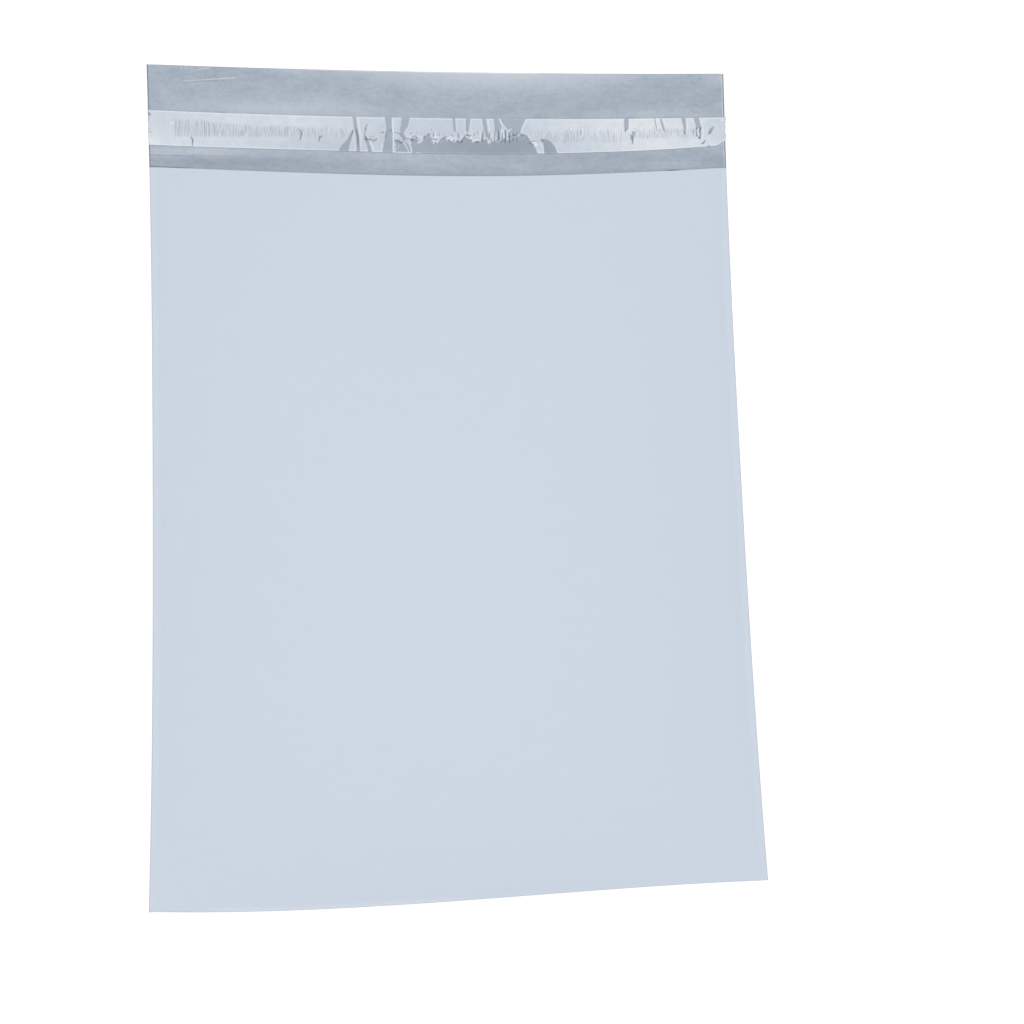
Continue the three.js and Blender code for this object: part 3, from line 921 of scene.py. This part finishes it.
# Where the upright wrinkles shade the liner: how much, and the steps in which the shade comes and
# goes, across and along. The left band's upper border slopes
SHADE = 0.3
LEFT_SHADE_ACROSS = (-164, -160), (-56, -90)
LEFT_SHADE_FOOT = (204, 207)
LEFT_SHADE_TOP = [(-150, 215.8), (-130, 213.6), (-110, 212.6), (-70, 212.0)]
RIGHT_SHADES = [
    (0.4, ((56, 62), (119, 115)), ((203, 206), (213, 209))),
    (0.4, ((117, 121), (160, 154)), ((206, 208), (215, 212))),
]


def dry_milkiness(x, y):
    """The dry liner's tone: its table's lower and upper half, less the shade of the wrinkles."""
    place, upper, lower = np.transpose(LINER_TONES)
    upper, lower = np.interp(x, place, upper), np.interp(x, place, lower)
    top = np.interp(x, *np.transpose(LEFT_SHADE_TOP))
    shade = window(x, *LEFT_SHADE_ACROSS) * window(y, LEFT_SHADE_FOOT, (top + 1.0, top - 1.4))
    for amount, across, along in RIGHT_SHADES:
        shade = shade + amount * window(x, *across) * window(y, *along)
    return lower + (upper - lower) * smooth(*TONE_TURN, y) - SHADE * shade


def wet_milkiness(x, y):
    """The wetted liner's tone: clearest in its lower half right of the middle."""
    low = 0.5 - 0.35 * smooth(-14, 8, x) - 0.15 * smooth(8, 28, x) + 0.2 * smooth(40, 54, x)
    return low + (1 - low) * smooth(200, 214, y)


# A wetted place ends in a step, from so far outside it to so far inside
WET_STEP = (-0.4, 0.3)
# Small puckers crowd along the border of the long wetted stretch, with painted highlights and
# painted shade in turn: how strong, how much taller than wide, how far from the border, and
# between which ends
PUCKER_AMOUNT = 1.3
PUCKER_TALL = 0.8
PUCKER_REACH = 1.5
PUCKERS_ACROSS = (-24, -20), (52, 47)
PUCKER_SHOWS = (0.15, 0.6)
# The rim of the liner has a painted highlight at this distance from its edge, about so wide
RIM_PLACE, RIM_REACH = 0.45, 0.32

# How strongly each kind of painted highlight and painted shade shows
BRIGHT_CREASE, DARK_CREASE = 0.75, 0.85
DRY_RIM, WET_RIM = 0.66, 0.14
BRIGHT_PUCKER, DARK_PUCKER = 0.6, 0.55
# The same of a step that faces the light or lies in shade: by its slope, and at most
BRIGHT_STEP, BRIGHT_STEP_MOST = 0.3, 0.55
DARK_STEP, DARK_STEP_MOST = 0.12, 0.25

# How far the liner stands off the adhesive: where it is dry, more or less, by its rim and where
# highlights are painted on it, less what its wrinkles are sunk
DRY_LIFT, DRY_LIFT_WAVE, RIM_LIFT, CREASE_LIFT, WRINKLE_DEPTH = 0.05, 0.025, 0.05, 0.025, 0.04
LIFT_MOST = 0.5


def liner_fields(x, y, from_low, from_top):
    """The depth inside a wetted place, the painted highlights and painted shade of its creases,
    wrinkles, rim, steps and puckers, and the milkiness, which the liner's material goes by, and how
    far it stands off the adhesive."""
    wet = stroke_field(x, y, WET_STROKES)
    for corners in WET_PATCHES:
        wet = np.maximum(wet, patch_field(x, y, corners))
    border_x, border_y = np.transpose(WET_BORDER)
    below_border = np.interp(x, border_x, border_y) - y
    long_stretch = np.minimum(below_border, np.minimum(x - border_x[0], border_x[-1] - x))
    wet = np.maximum(wet, long_stretch)
    dry = 1 - smooth(*WET_STEP, wet)
    # The step has a painted highlight where the film rises towards the right, and painted shade where
    # it falls
    step = np.gradient(dry, axis=1) / np.gradient(x, axis=1)
    crowded = bell(below_border, 0, PUCKER_REACH) * window(x, *PUCKERS_ACROSS)
    pucker = PUCKER_AMOUNT * lattice_noise(x, y * PUCKER_TALL, *LINER_PUCKERS) * crowded

    # The wrinkles' painted shade and painted highlights, on the dry liner only
    dark_ripples, light_ripples = ripple_strokes()
    ripple_dark = weighed(x, y, dark_ripples) * dry
    ripple_light = weighed(x, y, light_ripples) * dry
    # A painted highlight along both edges, weaker where the liner is wetted; the rim also lifts it
    rim = bell(from_top, RIM_PLACE, RIM_REACH) + bell(from_low, RIM_PLACE, RIM_REACH)
    # Painted highlights: creases, wrinkles, rim, steps facing the light and puckers
    painted_highlight = np.maximum.reduce([
        BRIGHT_CREASE * cover(stroke_field(x, y, BRIGHT_STROKES) + STROKE_THINNING),
        ripple_light,
        (WET_RIM + (DRY_RIM - WET_RIM) * dry) * rim,
        np.clip(BRIGHT_STEP * step, 0, BRIGHT_STEP_MOST),
        BRIGHT_PUCKER * smooth(*PUCKER_SHOWS, pucker),
    ])
    # Painted shade: gaps in the folds, wrinkles, steps facing away and puckers
    painted_shade = np.maximum.reduce([
        DARK_CREASE * cover(stroke_field(x, y, DARK_STROKES) + STROKE_THINNING),
        ripple_dark,
        np.clip(-DARK_STEP * step, 0, DARK_STEP_MOST),
        DARK_PUCKER * smooth(*PUCKER_SHOWS, -pucker),
    ])
    tone = dry_milkiness(x, y) * dry + wet_milkiness(x, y) * (1 - dry)

    loose = DRY_LIFT + DRY_LIFT_WAVE * lattice_noise(x, y, *LINER_WAVES) + RIM_LIFT * rim
    lift = dry * loose + CREASE_LIFT * painted_highlight - WRINKLE_DEPTH * ripple_dark
    fields = {"wet": wet, "painted_highlight": painted_highlight, "painted_shade": painted_shade, "tone": tone}
    return fields, np.clip(lift, 0, LIFT_MOST)


LINER_COLUMNS, LINER_ROWS = 840, 52
# The liner clears the ripples of the adhesive by a thousandth
LINER_CLEARANCE = 0.016
# Its lower edge hangs a little in its middle: how far, and the bell that it follows
LINER_HANG = 0.75
LINER_HANG_BELL = (15, 62, 4)
# Its lower right corner is cut off, and its ends are ragged, each by so much and from this share of
# the half width onwards
CORNER_CUT, CORNER_CUT_FROM = 2.6, 0.965
RAGGED_RIGHT, RAGGED_RIGHT_FROM = 0.9, 0.985
RAGGED_LEFT, RAGGED_LEFT_FROM = 0.25, -0.99


def liner_piece(material):
    """The release liner: a slab that stands off the adhesive in wrinkles where it is dry, and lies
    on it where it is wetted."""

    def bottom(s):
        hang = LINER_HANG * bell(s * HALF_WIDTH, *LINER_HANG_BELL)
        return liner_bottom(s) - hang + CORNER_CUT * smooth(CORNER_CUT_FROM, 1.0, s)

    x, y = band_grid(bottom, liner_top, 0, LINER_COLUMNS, LINER_ROWS)
    s = x / half_width_at(y)
    teeth = 0.5 + 0.5 * lattice_noise(y, 0 * y, *RAGGED_TEETH)
    ragged = teeth + 0.25 * lattice_noise(y, 0 * y, *RAGGED_FRINGE)
    x = x + RAGGED_RIGHT * ragged * smooth(RAGGED_RIGHT_FROM, 1, s)
    x = x - RAGGED_LEFT * ragged * smooth(RAGGED_LEFT_FROM, -1, s)
    fields, lift = liner_fields(x, y, y - bottom(s), liner_top(s) - y)
    base = flap_lift(x, y) + FILM_GAUGE + ADHESIVE_GAUGE + LINER_CLEARANCE
    points, quads = closed_slab(x, y, base + lift, base + lift + LINER_GAUGE)
    both = {name: np.concatenate([value.ravel(), value.ravel()]) for name, value in fields.items()}
    return make_piece("liner_strip", points, quads, material, both)


# The camera, the lamps and the floor


def add_camera():
    data = bpy.data.cameras.new("camera")
    data.lens = CAMERA_LENS
    turn = [math.radians(angle) for angle in CAMERA_TURN]
    bpy.context.scene.camera = place_object("camera", data, CAMERA_PLACE, turn)


def add_softbox(name, place, aim, size, power):
    """A square area light of that side in metres, turned from its place towards its aim."""
    data = bpy.data.lights.new(name, "AREA")
    data.size = size
    data.energy = power
    away = np.subtract(place, aim)
    flat = math.hypot(away[0], away[1])
    place_object(name, data, place, (math.atan2(flat, away[2]), 0, math.atan2(away[0], -away[1])))


# The room's light on the bag, where 1 is white
ROOM_LIGHT = 0.48

# The floor, in metres: how far it reaches, and how far it lies below the bag
FLOOR_REACH = 30.0
FLOOR_DROP = 0.0002
# It glows a little round the bag, and more beyond the lamps: distance and strength
GLOW_NEAR, GLOW_FAR = (0.8, 0.25), (3.0, 0.6)

# The softboxes: name, place, aim and side in metres, power in watts
SOFTBOXES = [
    ("overhead", (0.0, -0.1, 3.2), (0, 0, 0), 2.6, 54.0),
    ("behind", (0.5, 2.2, 1.5), (0, 0.1, 0), 0.9, 4.0),
]


def seen_rays(tree):
    """1 for what the camera sees, directly, mirrored or through film, and 0 for other light."""
    rays = add_node(tree, "LightPath").outputs
    direct, mirrored, through = (
        rays[f"Is {kind} Ray"] for kind in ("Camera", "Glossy", "Transmission")
    )
    seen = add_node(tree, "Math", {0: direct, 1: mirrored}, operation="ADD")
    return add_node(tree, "Math", {0: seen, 1: through}, operation="ADD", use_clamp=True)


def add_room():
    """An even pale room that is white to look at and lights the bag less."""
    world = bpy.data.worlds.new("studio")
    world.use_nodes = True
    tree = world.node_tree
    seen = seen_rays(tree)
    strength = add_node(tree, "MapRange", {"Value": seen, "To Min": ROOM_LIGHT, "To Max": 1.0})
    room = tree.nodes["Background"]
    room.inputs["Color"].default_value = (1, 1, 1, 1)
    tree.links.new(strength.outputs[0], room.inputs["Strength"])
    bpy.context.scene.world = world


def white_paper(tree, place):
    """Matt white paper, which glows a little so that it looks white all over."""
    paper = add_node(tree, "BsdfDiffuse", {"Color": "#F2F2F2"})
    away = add_node(tree, "VectorMath", {0: place}, operation="LENGTH")
    (near, faint), (far, strong) = GLOW_NEAR, GLOW_FAR
    glow = {"From Min": near, "From Max": far, "To Min": faint, "To Max": strong}
    glow = add_node(tree, "MapRange", {"Value": away, **glow})
    glow = add_node(tree, "Math", {0: seen_rays(tree), 1: glow}, operation="MULTIPLY")
    light = add_node(tree, "Emission", {"Strength": glow})
    return add_node(tree, "AddShader", {0: paper, 1: light})


def add_floor():
    """A white floor that keeps the bag's shadow."""
    mesh = bpy.data.meshes.new("floor")
    corners = [(-1, -1), (1, -1), (1, 1), (-1, 1)]
    points = [(x * FLOOR_REACH, y * FLOOR_REACH, -FLOOR_DROP) for x, y in corners]
    mesh.from_pydata(points, [], [(0, 1, 2, 3)])
    mesh.materials.append(new_material("white_paper_sweep", white_paper))
    floor = place_object("floor", mesh)


def add_surroundings():
    """The room, the floor and the softboxes, so bright that a colour shows as written."""
    bpy.context.scene.view_settings.view_transform = "Standard"
    add_room()
    add_floor()
    for softbox in SOFTBOXES:
        add_softbox(*softbox)


add_camera()
add_surroundings()

film = film_piece(new_material("blown_polyethylene_film", blown_film))
adhesive = adhesive_piece(new_material("hot_melt_adhesive", hot_melt))
liner = liner_piece(new_material("siliconised_release_film", release_film))

for piece, node, slot in (
    (film, "mailer_film", "polyethylene_film"),
    (adhesive, "adhesive_strip", "hot_melt_adhesive"),
    (liner, "release_liner", "release_film"),
):
    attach(piece, "root")
    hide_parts(node)
